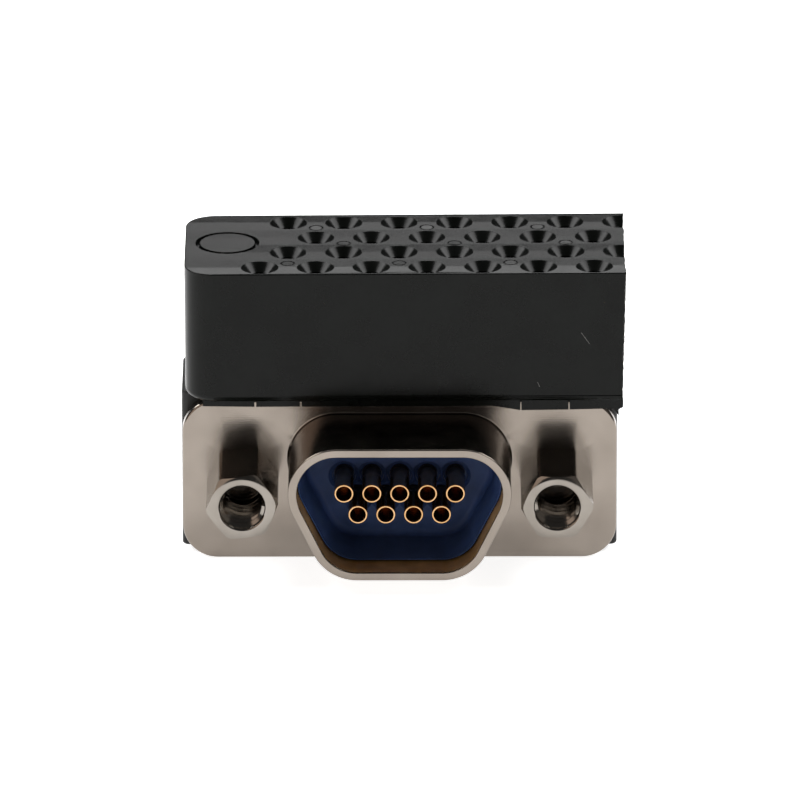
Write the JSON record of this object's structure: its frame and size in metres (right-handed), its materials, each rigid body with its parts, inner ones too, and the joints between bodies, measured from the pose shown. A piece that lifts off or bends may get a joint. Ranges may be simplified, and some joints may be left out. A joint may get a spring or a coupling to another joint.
{
  "type": "micro-d connector",
  "caption": "Right-angle board receptacle with a D-shaped metal shroud, socket tubes, hexagonal jackposts and a pull-off guard strip over its solder tails.",
  "frame": {"origin": "centre of the D shroud on the flange's front face", "axes": "+X across the connector, -Y out of the mating face, +Z to the board side"},
  "size_m": [0.0203, 0.0126, 0.0141],
  "materials": {
    "nickel_shell": "satin nickel plate over a cast shell",
    "nickel_post": "bright nickel plate over turned bar",
    "blue_insulator": "glossy moulded plastic",
    "gold_contact": "gold plate",
    "brass_insert": "turned brass",
    "black_housing": "moulded plastic with a dull skin",
    "black_guard": "glossy moulded plastic, one end cut"
  },
  "bodies": {
    "connector": {"shell": "nickel_shell", "insulator": "blue_insulator", "rear_insulator": "blue_insulator", "housing": "black_housing", "tail_locator": "black_housing", "socket_1": "gold_contact", "socket_2": "gold_contact", "socket_3": "gold_contact", "socket_4": "gold_contact", "socket_5": "gold_contact", "socket_6": "gold_contact", "socket_7": "gold_contact", "socket_8": "gold_contact", "socket_9": "gold_contact", "tail_1": "gold_contact", "tail_2": "gold_contact", "tail_3": "gold_contact", "tail_4": "gold_contact", "tail_5": "gold_contact", "tail_6": "gold_contact", "tail_7": "gold_contact", "tail_8": "gold_contact", "tail_9": "gold_contact", "jackpost_left": "nickel_post", "jackpost_right": "nickel_post", "jackpost_insert_left": "brass_insert", "jackpost_insert_right": "brass_insert", "board_insert_left": "brass_insert", "board_insert_right": "brass_insert"},
    "guard": {"tail_guard": "black_guard"}
  },
  "joints": [
    {"name": "guard_lift", "type": "slide", "parent": "connector", "child": "guard", "axis": [0, 0, 1], "range_m": [0, 0.006]}
  ]
}
